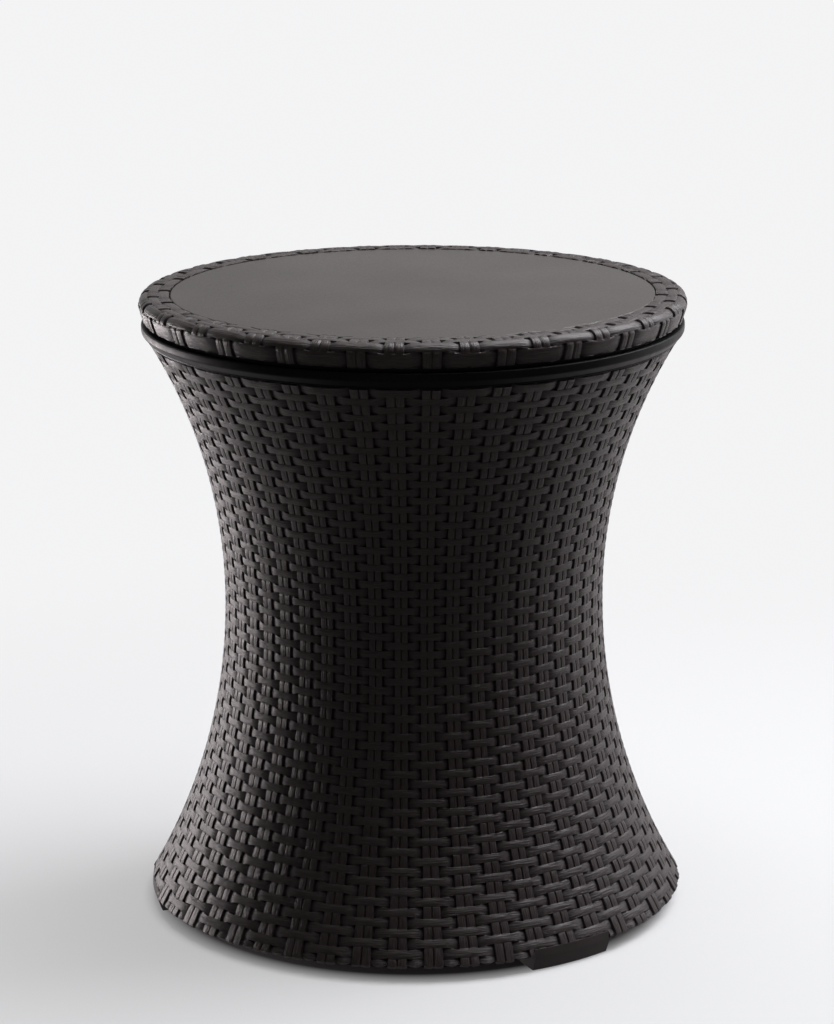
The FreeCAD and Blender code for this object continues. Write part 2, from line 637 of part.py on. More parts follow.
def guide_column():
    """Column through both floors, with a groove on each side and a lock notch at both ends."""
    shaft = cylinder("sizes.tube_radius", "sizes.tube_top - sizes.tube_bottom", "sizes.tube_bottom")
    flange = cylinder("sizes.tube_flange_radius", "dims.tube_flange_thickness", "sizes.tube_flange_base")
    bore = cylinder("sizes.tube_bore", "sizes.tube_top - sizes.tube_bottom", "sizes.tube_bottom")
    groove = doc.addObject("Part::Box", "groove")
    groove.setExpression("Length", "2 * sizes.groove_radius")
    groove.setExpression("Width", "2 * sizes.groove_half")
    groove.setExpression("Height", "sizes.bush_bottom - sizes.tube_bottom")
    place(groove, x="-sizes.groove_radius", y="-sizes.groove_half", z="sizes.tube_bottom")
    notches = []
    for raised in (0, 1):
        for side in (0, 1):
            notch = cylinder("sizes.groove_radius", "2 * sizes.groove_half",
                             f"sizes.pin_height - sizes.groove_half + {raised} * dims.lift_travel",
                             angle="dims.twist_angle + 2 * sizes.groove_side")
            turn(notch, f"{side} * 180 - dims.twist_angle - sizes.groove_side")
            notches.append(notch)
    cut("guide_tube", fuse([shaft, flange]), [bore, groove] + notches)
    ring_of("guide_tube_gasket", "sizes.tube_flange_radius", "sizes.floor_hole_radius",
            "sizes.bucket_inside", "dims.gasket_thickness")
    nut = doc.addObject("Part::Prism", "nut")
    nut.Polygon = 6
    nut.setExpression("Circumradius", "sizes.nut_radius")
    nut.setExpression("Height", "dims.nut_height")
    place(nut, z="dims.waist_height - dims.nut_height")
    thread = cylinder("sizes.tube_radius + dims.running_gap", "dims.nut_height",
                      "dims.waist_height - dims.nut_height")
    cut("guide_tube_nut", nut, [thread])
    revolve(add_body("guide_bush"), [
        ("dims.post_radius + dims.running_gap", "sizes.bush_bottom"),
        ("sizes.tube_bore - dims.running_gap", "sizes.bush_bottom"),
        ("sizes.tube_bore - dims.running_gap", "sizes.tube_top"),
        ("sizes.tube_radius", "sizes.tube_top"),
        ("sizes.tube_radius", "sizes.tube_top + dims.bush_collar"),
        ("dims.post_radius + dims.running_gap", "sizes.tube_top + dims.bush_collar"),
    ])
    revolve(add_body("guide_cap"), [
        ("0", "sizes.tube_bottom - dims.cap_thickness"),
        ("sizes.tube_radius", "sizes.tube_bottom - dims.cap_thickness"),
        ("sizes.tube_radius", "sizes.tube_bottom"),
        ("sizes.tube_bore - dims.running_gap", "sizes.tube_bottom"),
        ("sizes.tube_bore - dims.running_gap", "sizes.cap_top"),
        ("0", "sizes.cap_top"),
    ])


def slide_ring():
    """Lower bearing of the post, with a tab in each groove so that it cannot turn."""
    sleeve = cylinder("sizes.tube_bore - dims.running_gap", "dims.ring_length", "sizes.ring_bottom")
    tabs = doc.addObject("Part::Box", "tabs")
    tabs.setExpression("Length", "2 * (sizes.groove_radius - dims.fit_gap)")
    tabs.setExpression("Width", "2 * (sizes.groove_half - dims.fit_gap)")
    tabs.setExpression("Height", "dims.ring_length")
    place(tabs, x="-(sizes.groove_radius - dims.fit_gap)", y="-(sizes.groove_half - dims.fit_gap)",
          z="sizes.ring_bottom")
    bore = cylinder("dims.post_radius + dims.running_gap", "dims.ring_length", "sizes.ring_bottom")
    cut("slide_ring", fuse([sleeve, tabs]), [bore])


def post():
    """Post with its head, foot, clip and pins."""
    tube = cylinder("dims.post_radius", "sizes.top_base - sizes.post_bottom", "sizes.post_bottom")
    bore = cylinder("sizes.post_inner", "sizes.top_base - sizes.post_bottom", "sizes.post_bottom")
    collar = cylinder("dims.post_radius", "dims.clip_thickness", "sizes.clip_bottom")
    neck = cylinder("dims.post_radius - dims.clip_depth", "dims.clip_thickness", "sizes.clip_bottom")
    clip_groove = doc.addObject("Part::Cut", "clip_groove")
    clip_groove.Base = collar
    clip_groove.Tool = neck
    lock_hole = cross_rod("dims.pin_radius + dims.running_gap", "sizes.groove_radius", "sizes.pin_height")
    head_hole = cross_rod("dims.head_pin_radius + dims.running_gap", "sizes.hub_radius",
                          "sizes.head_pin_height")
    cut("post_tube", tube, [bore, clip_groove, lock_hole, head_hole])

    plug = cylinder("sizes.post_inner - dims.running_gap", "dims.plug_length", "sizes.post_bottom")
    flange = cylinder("dims.post_radius", "dims.plug_flange", "sizes.post_foot_bottom")
    plug_hole = cross_rod("dims.pin_radius + dims.running_gap", "sizes.groove_radius", "sizes.pin_height")
    cut("post_foot", fuse([plug, flange]), [plug_hole])
    lock_pin = cross_rod("dims.pin_radius", "(sizes.groove_radius - dims.fit_gap)", "sizes.pin_height")
    add_subpart(lock_pin, "lock_pin")
    ring_of("slide_ring_clip", "dims.post_radius - dims.clip_depth + dims.clip_width",
            "dims.post_radius - dims.clip_depth + dims.running_gap", "sizes.clip_bottom",
            "dims.clip_thickness")

    head = add_body("post_head")
    revolve(head, [
        ("dims.post_radius + dims.running_gap", "sizes.hub_bottom"),
        ("sizes.hub_radius", "sizes.hub_bottom"),
        ("sizes.hub_radius", "sizes.head_base"),
        ("sizes.head_radius", "sizes.head_base"),
        ("sizes.head_radius", "sizes.top_base"),
        ("dims.post_radius + dims.running_gap", "sizes.top_base"),
    ])
    screw_hole = round_feature(head, "sizes.clear_radius", "sizes.head_base",
                               "dims.head_flange_thickness", ring="sizes.head_ring", cut=True)
    repeat(head, [screw_hole], "dims.head_screw_count")
    sketch = new_sketch(head, "YZ_Plane")
    sketch.addGeometry(Part.Circle(Vector(0, value("sizes.head_pin_height"), 0), Vector(0, 0, 1),
                                   value("dims.head_pin_radius")), False)
    sketch.addConstraint(Sketcher.Constraint("PointOnObject", 0, 3, -2))
    tie(sketch, "DistanceY", 0, 3, "sizes.head_pin_height")
    tie(sketch, "Radius", 0, 3, "dims.head_pin_radius + dims.running_gap")
    before = head.Shape.Volume
    pin_hole = head.newObject("PartDesign::Pocket", "post_head_pin_hole")
    pin_hole.Profile = sketch
    pin_hole.Midplane = True
    pin_hole.setExpression("Length", "2 * sizes.hub_radius")
    check_cut(pin_hole, before)
    head_pin = cross_rod("dims.head_pin_radius", "sizes.hub_radius", "sizes.head_pin_height")
    add_subpart(head_pin, "post_head_pin")


def table_top():
    """Woven rim, smooth panel, ribbed underside and the seal below it."""
    rim = add_body("top_rim")
    revolve(rim, [
        ("sizes.panel_seat_radius", "sizes.top_height"),
        ("sizes.panel_seat_radius", "sizes.panel_base"),
        ("sizes.ledge_inner", "sizes.panel_base"),
        ("sizes.ledge_inner", "sizes.ledge_base"),
        ("sizes.web_radius", "sizes.ledge_base"),
        ("sizes.web_radius", "sizes.rim_soffit"),
        ("sizes.rim_inner", "sizes.rim_soffit"),
        ("sizes.rim_inner", "sizes.top_base"),
        ("sizes.rim_lip_radius", "sizes.top_base"),
        ("sizes.top_radius", "sizes.roll_shoulder", "dims.rim_roll", "left"),
        ("sizes.top_radius - dims.rim_roll", "sizes.top_height"),
    ])
    boss = round_feature(rim, "dims.boss_radius", "sizes.plate_top", "sizes.ledge_base - sizes.plate_top",
                         ring="sizes.top_ring")
    repeat(rim, [boss], "dims.top_screw_count")
    pilot = round_feature(rim, "sizes.pilot_radius", "sizes.plate_top", "sizes.top_screw_bite + dims.fit_gap",
                          ring="sizes.top_ring", cut=True)
    repeat(rim, [pilot], "dims.top_screw_count")

    panel = add_body("top_panel")
    round_feature(panel, "sizes.panel_radius", "sizes.panel_base", "dims.panel_thickness")
    boss = round_feature(panel, "dims.boss_radius", "sizes.plate_top", "sizes.panel_base - sizes.plate_top",
                         ring="sizes.head_ring")
    repeat(panel, [boss], "dims.head_screw_count")
    pilot = round_feature(panel, "sizes.pilot_radius", "sizes.plate_top", "sizes.pilot_depth",
                          ring="sizes.head_ring", cut=True)
    repeat(panel, [pilot], "dims.head_screw_count")

    plate = add_body("top_underside")
    round_feature(plate, "sizes.plate_radius", "sizes.top_base", "dims.plate_thickness")
    sketch = new_sketch(plate, "XY_Plane", height="sizes.plate_top")
    draw_outline(sketch, [
        ("sizes.rib_inner", "-dims.rib_width / 2"),
        ("sizes.rib_outer", "-dims.rib_width / 2"),
        ("sizes.rib_outer", "dims.rib_width / 2"),
        ("sizes.rib_inner", "dims.rib_width / 2"),
    ])
    rib = plate.newObject("PartDesign::Pad", "rib")
    rib.Profile = sketch
    rib.setExpression("Length", "sizes.panel_base - sizes.plate_top")
    repeat(plate, [rib], "dims.rib_count")
    for place_name in ("top", "head"):
        hole = round_feature(plate, "sizes.clear_radius", "sizes.top_base", "dims.plate_thickness",
                             ring=f"sizes.{place_name}_ring", cut=True)
        repeat(plate, [hole], f"dims.{place_name}_screw_count")
    ring_of("top_seal", "sizes.seal_radius + dims.seal_width / 2", "sizes.seal_radius - dims.seal_width / 2",
            "sizes.lip_top", "dims.seal_height")


def drain():
    """Fitting clamped through both floors, and the stopper that is pulled out of it."""
    fitting = add_body("drain_fitting")
    revolve(fitting, [
        ("dims.drain_bore", "sizes.drain_top - dims.drain_length"),
        ("sizes.drain_radius", "sizes.drain_top - dims.drain_length"),
        ("sizes.drain_radius", "sizes.drain_flange_base"),
        ("sizes.drain_flange_radius", "sizes.drain_flange_base"),
        ("sizes.drain_flange_radius", "sizes.drain_top"),
        ("dims.drain_bore", "sizes.drain_top"),
    ])
    place(fitting, y="sizes.drain_offset")
    nut_base = "dims.waist_height - dims.drain_nut_height"
    gasket = ring_of("drain_gasket", "sizes.drain_flange_radius", "sizes.drain_hole_radius",
                     "sizes.bucket_inside", "dims.drain_gasket_thickness")
    place(gasket, y="sizes.drain_offset")
    prism = doc.addObject("Part::Prism", "small_nut")
    prism.Polygon = 6
    prism.setExpression("Circumradius", "sizes.drain_radius + dims.drain_nut_width")
    prism.setExpression("Height", "dims.drain_nut_height")
    place(prism, z=nut_base)
    thread = cylinder("sizes.drain_radius + dims.running_gap", "dims.drain_nut_height", nut_base)
    place(cut("drain_nut", prism, [thread]), y="sizes.drain_offset")

    head_base = "dims.plug_washer"
    neck_base = f"{head_base} + dims.plug_head_height"
    knob_base = f"{neck_base} + dims.plug_neck_height"
    plug = add_body("drain_plug")
    revolve(plug, [
        ("0", "-dims.plug_stem"),
        ("sizes.drain_stem_radius", "-dims.plug_stem"),
        ("sizes.drain_stem_radius", head_base),
        ("sizes.drain_head_radius", head_base),
        ("sizes.drain_head_radius", neck_base),
        ("dims.plug_neck_radius", neck_base),
        ("dims.plug_neck_radius", knob_base),
        ("dims.plug_knob_radius", knob_base),
        ("dims.plug_knob_radius", f"{knob_base} + dims.plug_knob_height"),
        ("0", f"{knob_base} + dims.plug_knob_height"),
    ])
    place(plug, y="sizes.drain_offset", z="sizes.drain_top")
    washer = ring_of("drain_plug_washer", "sizes.drain_head_radius",
                     "sizes.drain_stem_radius + dims.running_gap", "sizes.drain_top", "dims.plug_washer")
    place(washer, y="sizes.drain_offset")


def screws():
    screw_group("waist_screws", "sizes.waist_ring", "dims.waist_screw_count", "sizes.waist_flange_low",
                "(dims.waist_flange_thickness + dims.screw_bite)")
    screw_group("foot_screws", "sizes.foot_ring", "dims.foot_count", "dims.foot_recess",
                "(dims.hem_height - dims.foot_recess + dims.screw_bite)", bearing="dims.foot_bearing")
    screw_group("top_screws", "sizes.top_ring", "dims.top_screw_count", "sizes.top_base",
                "(dims.plate_thickness + sizes.top_screw_bite)")
    screw_group("post_head_screws", "sizes.head_ring", "dims.head_screw_count", "sizes.head_base",
                "(sizes.head_clamp + dims.screw_bite)")


def write_parts():
    doc.recompute()
    for item in doc.Objects:
        if "Invalid" in item.State or "Error" in item.State:
            raise RuntimeError(f"{item.Label} failed: {item.State}")
    for item in subparts:
        if item.Shape.isNull() or not item.Shape.isValid() or not item.Shape.Solids:
            raise RuntimeError(f"{item.Label} has no valid solid")
    os.makedirs("parts", exist_ok=True)
    for item in subparts:
        item.Shape.exportStep(f"parts/{item.Label}.step")
        print(item.Label, len(item.Shape.Solids), round(item.Shape.Volume / 1000, 2))


fill_sheets()
lower_body_shell()
upper_body_shell()
feet()
ice_bucket()
guide_column()
slide_ring()
post()
table_top()
drain()
screws()
write_parts()
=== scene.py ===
"""Woven-look cooler table, dressed on its CAD frame."""
import json
import math
from dataclasses import dataclass

import bpy
from mathutils import Matrix, Vector, noise

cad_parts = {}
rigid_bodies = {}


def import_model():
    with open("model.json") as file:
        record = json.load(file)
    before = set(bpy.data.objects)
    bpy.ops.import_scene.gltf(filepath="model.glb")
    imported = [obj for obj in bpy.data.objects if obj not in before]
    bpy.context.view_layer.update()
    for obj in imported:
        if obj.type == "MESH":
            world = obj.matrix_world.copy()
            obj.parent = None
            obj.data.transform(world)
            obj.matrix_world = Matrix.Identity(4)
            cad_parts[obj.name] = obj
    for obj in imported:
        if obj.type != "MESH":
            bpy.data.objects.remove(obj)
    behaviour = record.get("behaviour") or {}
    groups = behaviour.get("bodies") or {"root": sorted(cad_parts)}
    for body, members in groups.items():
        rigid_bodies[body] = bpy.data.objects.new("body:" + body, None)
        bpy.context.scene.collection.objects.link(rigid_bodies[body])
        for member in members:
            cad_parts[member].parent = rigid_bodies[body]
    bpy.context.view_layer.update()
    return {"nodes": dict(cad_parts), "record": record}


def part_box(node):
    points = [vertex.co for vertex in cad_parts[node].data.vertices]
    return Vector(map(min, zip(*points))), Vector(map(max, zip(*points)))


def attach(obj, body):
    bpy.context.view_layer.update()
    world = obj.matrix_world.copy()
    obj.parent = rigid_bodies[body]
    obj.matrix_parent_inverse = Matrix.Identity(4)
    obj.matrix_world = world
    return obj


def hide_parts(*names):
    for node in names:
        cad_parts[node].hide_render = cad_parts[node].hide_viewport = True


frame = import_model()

MM = 0.001

# Sizes taken from the frame
WAIST_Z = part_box("upper_body_shell")[0].z
SHELL_TOP_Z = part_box("upper_body_shell")[1].z
RIM_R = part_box("top_rim")[1].x
RIM_BASE_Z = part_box("top_rim")[0].z
RIM_TOP_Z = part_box("top_rim")[1].z
PANEL_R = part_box("top_panel")[1].x
PANEL_TOP_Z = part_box("top_panel")[1].z
LIP_TOP_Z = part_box("ice_bucket")[1].z
COLLAR_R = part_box("ice_bucket")[1].x
BUCKET_FLOOR_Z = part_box("guide_tube_gasket")[0].z

# Body profile: two flares that meet at the waist
WAIST_R = 173.5 * MM
UPPER_FLARE_R = 476.5 * MM
LOWER_FLARE_R = 537 * MM
HEM_R = 247.3 * MM
HEM_ROUND_Z = 15.6 * MM
HEM_EDGE_Z = 12.5 * MM
HEM_TUCK_R = 238 * MM
WALL = 5.5 * MM
WAIST_FLANGE_R = 150 * MM
WAIST_FLANGE_Z = 283.4 * MM
HEM_FLANGE_R = 211.8 * MM
HEM_FLANGE_TOP_Z = 16.9 * MM

# Feet
FOOT_BEARINGS = (-54.8, 65.2, 185.2)
FOOT_ANGLE = 19.5
FOOT_INNER_R = 215.8 * MM
FOOT_SOLE_R = 241 * MM
FOOT_BULGE_R = 245.4 * MM
FOOT_TOP_R = 244.4 * MM
FOOT_TOP_Z = 20.3 * MM
FOOT_TAB_R = 236.1 * MM
FOOT_SCREW_R = 225.8 * MM
FOOT_RECESS_R = 4.1 * MM
FOOT_RECESS_Z = 4 * MM

# Rim
RIM_ROLL_R = 10 * MM
RIM_LIP_R = 243.5 * MM
RIM_INNER_R = 219.2 * MM
RIM_ROWS_MM = (0, 10, 19.5, 31.9, 47.0)
RIM_INNER_TUCK_Z = 564.5 * MM
RIM_BASE_TUCK_R = 240.7 * MM
RIM_BASE_TUCK_RISE = 0.2 * MM

# Bucket and panel
BUCKET_WALL = 3.5 * MM
BUCKET_GAP = 15.5 * MM
BUCKET_COLUMN_R = 30.3 * MM
BUCKET_FOOT_R = 153.9 * MM
BUCKET_FOOT_RISE = 5.5 * MM
BUCKET_WALL_RISE = 25.4 * MM
COLLAR_STRAIGHT = 7 * MM
COLLAR_SKIRT_R = 239.7 * MM
COLLAR_SKIRT_RISE = 1.2 * MM
COLLAR_INNER_R = 236.2 * MM
COLLAR_WALL = 3.5 * MM
PANEL_EDGE = 4 * MM
PANEL_ROUND = 1.2 * MM

# Weave: rows are counted from the hem, and the seam of the shells cuts a row in half
STAKES = 48
SEAM_ROW = 33.5
TOP_ROW = 64
ROW_BELOW_SEAM = 8.125 * MM
ROW_ABOVE_SEAM = 7.93 * MM
SEAM_GAP = 0.3 * MM
SEAM_Z = HEM_EDGE_Z + SEAM_ROW * ROW_BELOW_SEAM
SEAM_TUCK = 2.5 * MM
SHELL_TOP_TUCK = 3.5 * MM
HEM_TUCK_RISE = 0.6 * MM
OUTER_FACE_DEPTH = 2.8 * MM

# Weave shapes that body and rim share, as shares of a stake or row pitch
BAND_SPAN = 0.74
PINCH_FULL, PINCH_END = 0.22, 0.5
RIDGE_SHARE = 0.52
SPLIT_REACH = 0.001
JOINT_STRIPS = 0.6
LEAST_GROOVE = 0.15
GROOVE_START, GROOVE_FULL = 0.5, 0.72
TUCK_ROWS = 0.3

# Points closer than this become one
SHEET_MERGE = 0.004 * MM
PIECE_MERGE = 0.002 * MM

LIGHT_AIM = Vector((0, 0, 0.3))


@dataclass
class Strands:
    """Sizes of one weave: heights in millimetres, places as shares of a stake or row pitch."""
    swing: float
    fall: float
    dive: float
    groove: float
    crown: float
    split: float
    shoulder: float
    edge_drop: float
    pinch: float
    stake_edge: float
    band_edge: float
    wobble: float
    columns: tuple
    steps: tuple


BODY_STRANDS = Strands(
    swing=1.5, fall=2.7, dive=0.3, groove=0.9, crown=0.32, split=1.4, shoulder=0.5, edge_drop=0.45,
    pinch=0.17, stake_edge=0.265, band_edge=0.44, wobble=0.25,
    columns=(-0.5, -0.36, -0.28, -0.25, -0.135, -0.03, 0.0, 0.03, 0.135, 0.25, 0.28, 0.36),
    steps=(-0.5, -0.44, -0.15, 0.15, 0.44))
RIM_STRANDS = Strands(
    swing=1.3, fall=2.4, dive=0.5, groove=0.9, crown=0.65, split=1.1, shoulder=0.5, edge_drop=0.45,
    pinch=0.08, stake_edge=0.26, band_edge=0.45, wobble=0.15,
    columns=(-0.5, -0.42, -0.34, -0.275, -0.245, -0.19, -0.135, -0.08, -0.03, 0.0,
             0.03, 0.08, 0.135, 0.19, 0.245, 0.275, 0.34, 0.42),
    steps=(-0.5, -0.45, -0.36, -0.2, 0.0, 0.2, 0.36, 0.45))


def clear_selection():
    bpy.ops.object.select_all(action="DESELECT")


def activate(obj):
    clear_selection()
    obj.select_set(True)
    bpy.context.view_layer.objects.active = obj


def rename(obj, name):
    obj.name = name
    obj.data.name = name


def smooth(obj, degrees):
    activate(obj)
    bpy.ops.object.shade_smooth_by_angle(angle=math.radians(degrees))


def edit(obj, mode, *steps):
    """Runs edit-mode steps on what is selected in the mesh."""
    activate(obj)
    bpy.ops.object.mode_set(mode="EDIT")
    bpy.ops.mesh.select_mode(type=mode)
    for step in steps:
        step()
    bpy.ops.object.mode_set(mode="OBJECT")


def select_all():
    bpy.ops.mesh.select_all(action="SELECT")


def select_faces(obj, test):
    mesh = obj.data
    for vertex in mesh.vertices:
        vertex.select = False
    for edge in mesh.edges:
        edge.select = False
    for face in mesh.polygons:
        face.select = test(face.center)


def delete_faces(obj, test):
    select_faces(obj, test)
    edit(obj, "FACE", lambda: bpy.ops.mesh.delete(type="FACE"))


def merge(obj, distance):
    edit(obj, "VERT", select_all, lambda: bpy.ops.mesh.remove_doubles(threshold=distance))


def face_outward(obj):
    edit(obj, "FACE", select_all, lambda: bpy.ops.mesh.normals_make_consistent(inside=False))


def flip(obj):
    edit(obj, "FACE", select_all, bpy.ops.mesh.flip_normals)


def dress(obj, body, slot, material, *nodes):
    """Gives a finished piece its material and body, and hides the nodes it stands for."""
    obj.data.materials.clear()
    obj.data.materials.append(material)
    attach(obj, body)
    if nodes:
        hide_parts(*nodes)


def ease(low, high, value):
    share = min(1.0, max(0.0, (value - low) / (high - low)))
    return share * share * (3 - 2 * share)


# Profiles


def body_radius(z):
    """Radius of the woven body's outer face at a height."""
    flare = UPPER_FLARE_R if z >= WAIST_Z else LOWER_FLARE_R
    radius = WAIST_R + flare - math.sqrt(flare ** 2 - (z - WAIST_Z) ** 2)
    if z < HEM_ROUND_Z:
        radius = HEM_R - 2 * MM * ((HEM_ROUND_Z - z) / (HEM_ROUND_Z - HEM_EDGE_Z)) ** 2
    return min(radius, HEM_R)


def body_point(z):
    """Radius, height and outward normal of the woven body's outer face."""
    step = 0.5 * MM
    slope = (body_radius(z + step) - body_radius(z - step)) / (2 * step)
    length = math.hypot(1, slope)
    return body_radius(z), z, 1 / length, -slope / length


def row_point(row):
    """The same at a place among the body's rows."""
    if row <= SEAM_ROW:
        return body_point(HEM_EDGE_Z + row * ROW_BELOW_SEAM)
    return body_point(SEAM_Z + (row - SEAM_ROW) * ROW_ABOVE_SEAM)


def rim_point(row):
    """The same at a place among the rim's rows, from its inner edge over the roll and down the side."""
    index = min(len(RIM_ROWS_MM) - 2, max(0, math.floor(row)))
    low, high = RIM_ROWS_MM[index], RIM_ROWS_MM[index + 1]
    length = (low + (high - low) * (row - index)) * MM
    flat = RIM_R - RIM_ROLL_R - RIM_INNER_R
    quarter = RIM_ROLL_R * math.pi / 2
    if length <= flat:
        return RIM_INNER_R + length, RIM_TOP_Z, 0.0, 1.0
    if length <= flat + quarter:
        turn = (length - flat) / RIM_ROLL_R
        return (RIM_R - RIM_ROLL_R + RIM_ROLL_R * math.sin(turn),
                RIM_TOP_Z - RIM_ROLL_R + RIM_ROLL_R * math.cos(turn), math.sin(turn), math.cos(turn))
    drop = RIM_TOP_Z - RIM_ROLL_R - RIM_BASE_Z
    lean = RIM_R - RIM_LIP_R
    side = math.hypot(drop, lean)
    share = min(1.0, (length - flat - quarter) / side)
    return RIM_R - share * lean, RIM_TOP_Z - RIM_ROLL_R - share * drop, drop / side, -lean / side


# Weave


def body_over(stake, row):
    """Whether the row's band passes over the stake. The hem's band lies under every stake."""
    return row > 0 and (stake + row) % 2 == 0


def rim_over(stake, row):
    """The same for the rim, where every row alternates."""
    return (stake + row) % 2 == 0


def band_height(along, style):
    """Height of a band by its distance from the stake it passes over, in stake pitches."""
    return style.swing - style.fall * (along / BAND_SPAN) ** 4


def row_share(stake, row, du, dv, over, style, rows):
    """Share of its pitch that a row takes: less where its band lies over a stake, more beside that."""
    beside = row - 1 if dv < 0 else row + 1
    inside_sheet = row < rows[1] and math.floor(rows[0]) <= beside < rows[1]
    if not inside_sheet or over(stake, beside) == over(stake, row):
        return 1.0
    change = style.pinch * (1 - ease(PINCH_FULL, PINCH_END, abs(du)))
    return 1 - change if over(stake, row) else 1 + change


def strip_height(du, style):
    """Height across a stake of two round strips, measured from their ridges."""
    reach = abs(du)
    ridge = RIDGE_SHARE * style.stake_edge
    if reach < SPLIT_REACH:
        return -style.split
    if reach < ridge:
        return -style.shoulder * (1 - reach / ridge) ** 2
    return -style.edge_drop * ((reach - ridge) / (style.stake_edge - ridge)) ** 2


def crossing_height(stake, row, du, dv, over, style):
    """Height of a point inside a crossing."""
    lies_over = over(stake, row)
    if abs(du) < style.stake_edge and not lies_over:
        dives = over(stake, row - 1 if dv < 0 else row + 1)
        drop = style.dive * (2 * abs(dv)) ** 4 if dives else 0
        return style.swing * (1 - drop) + strip_height(du, style)
    along = abs(du) if lies_over else 1 - abs(du)
    return band_height(along, style) - style.crown * (dv / style.band_edge) ** 4


def joint_height(stake, row, du, over, style, rows):
    """Height between a row and the one before it."""
    before = over(stake, row - 1 if row > rows[0] else row)
    after = over(stake, row if row < rows[1] else row - 1)
    if abs(du) < style.stake_edge:
        if not before and not after:
            return style.swing + strip_height(du, style)
        return style.swing * (1 - style.dive) + JOINT_STRIPS * strip_height(du, style)
    reaches = [abs(du) if lies_over else 1 - abs(du) for lies_over in (before, after)]
    lowest = min(band_height(along, style) for along in reaches)
    depth = ease(GROOVE_START, GROOVE_FULL, max(reaches))
    return lowest - style.groove * (LEAST_GROOVE + (1 - LEAST_GROOVE) * depth)


def weave_levels(rows, style):
    """Rows and steps of the sheet's rings of points, from its first row to its last."""
    levels = [(row, step) for row in range(math.floor(rows[0]), math.ceil(rows[1])) for step in style.steps]
    levels = [(row, step) for row, step in levels if rows[0] <= row + 0.5 + step <= rows[1]]
    if rows[0] % 1:
        levels.insert(0, (math.floor(rows[0]), 0.0))
    levels.append((math.floor(rows[1]), 0.0 if rows[1] % 1 else style.steps[0]))
    return levels


def weave_sheet(name, rows, over, point, style, tucks):
    """Woven sheet round the axis. A tuck is the radius and height of a plain ring past an end."""
    across = len(style.columns)
    levels = [None] + weave_levels(rows, style) + [None]
    x_count = STAKES * across
    y_count = len(levels) - 1
    clear_selection()
    bpy.ops.mesh.primitive_grid_add(x_subdivisions=x_count, y_subdivisions=y_count, size=2)
    sheet = bpy.context.object
    rename(sheet, name)
    maps = []
    heights = []
    for vertex in sheet.data.vertices:
        column = round((vertex.co.x + 1) / 2 * x_count)
        level = round((vertex.co.y + 1) / 2 * y_count)
        stake, index = divmod(column, across)
        stake %= STAKES
        du = style.columns[index]
        u = column // across + 0.5 + du
        if levels[level] is None:
            radius, z = tucks[0] if level == 0 else tucks[1]
            v = rows[0] - TUCK_ROWS if level == 0 else rows[1] + TUCK_ROWS
            height = -style.swing - style.groove
        else:
            row, dv = levels[level]
            if dv == style.steps[0]:
                height = joint_height(stake, row, du, over, style, rows)
            else:
                height = crossing_height(stake, row, du, dv, over, style)
            v = row + 0.5 + dv * row_share(stake, row, du, dv, over, style, rows)
            radius, z = uneven(point, u, v, height, style)
        maps.append((u, v))
        heights.append(height)
        turn = 2 * math.pi * u / STAKES
        vertex.co = (radius * math.sin(turn), -radius * math.cos(turn), z)
    keep_strand_maps(sheet.data, maps, heights, over, style)
    merge(sheet, SHEET_MERGE)
    smooth(sheet, 36)
    return sheet


def uneven(point, u, v, height, style):
    """Radius and height of a weave point, with the small unevenness of a woven sheet."""
    turn = 2 * math.pi * u / STAKES
    spot = Vector((math.sin(turn) * 7, math.cos(turn) * 7, v * 0.9))
    radius, z, out, up = point(v + 0.12 * style.wobble * noise.noise(spot * 1.7))
    lift = 0.5 * style.wobble * (noise.noise(spot * 1.1 + Vector((9, 3, 5))) - 0.6)
    depth = min(0.0, height - style.swing + lift) * MM
    return radius + out * depth, z + up * depth


def keep_strand_maps(mesh, maps, heights, over, style):
    """Keeps each point's place in the weave: strand map, height, and which faces are stakes."""
    layer = mesh.uv_layers.active
    layer.name = "strand"
    for loop in mesh.loops:
        layer.data[loop.index].uv = maps[loop.vertex_index]
    height = mesh.attributes.new("height", "FLOAT", "POINT")
    height.data.foreach_set("value", heights)
    stake = mesh.attributes.new("stake", "FLOAT", "FACE")
    for face in mesh.polygons:
        u = sum(maps[index][0] for index in face.vertices) / len(face.vertices)
        v = sum(maps[index][1] for index in face.vertices) / len(face.vertices)
        on_stake = abs(u % 1 - 0.5) < style.stake_edge
        stake.data[face.index].value = float(on_stake and not over(math.floor(u), math.floor(v)))


def in_foot(centre):
    bearing = math.degrees(math.atan2(centre.y, centre.x))
    return any(abs((bearing - foot + 180) % 360 - 180) < FOOT_ANGLE / 2 for foot in FOOT_BEARINGS)


def lower_weave():
    seam = (body_radius(SEAM_Z) - SEAM_TUCK, SEAM_Z - SEAM_GAP)
    sheet = weave_sheet("lower_weave", (0, SEAM_ROW), body_over, row_point, BODY_STRANDS,
                        ((HEM_TUCK_R, HEM_EDGE_Z + HEM_TUCK_RISE), seam))
    delete_faces(sheet, lambda centre: centre.z < FOOT_TOP_Z and in_foot(centre))
    return sheet


def upper_weave():
    seam = (body_radius(SEAM_Z) - SEAM_TUCK, SEAM_Z + SEAM_GAP)
    return weave_sheet("upper_weave", (SEAM_ROW, TOP_ROW), body_over, row_point, BODY_STRANDS,
                       (seam, (body_radius(SHELL_TOP_Z) - SHELL_TOP_TUCK, SHELL_TOP_Z)))


def rim_weave():
    tucks = ((RIM_INNER_R, RIM_INNER_TUCK_Z), (RIM_BASE_TUCK_R, RIM_BASE_Z + RIM_BASE_TUCK_RISE))
    sheet = weave_sheet("rim_weave", (0, len(RIM_ROWS_MM) - 1), rim_over, rim_point, RIM_STRANDS, tucks)
    flip(sheet)
    return sheet


# Plain pieces


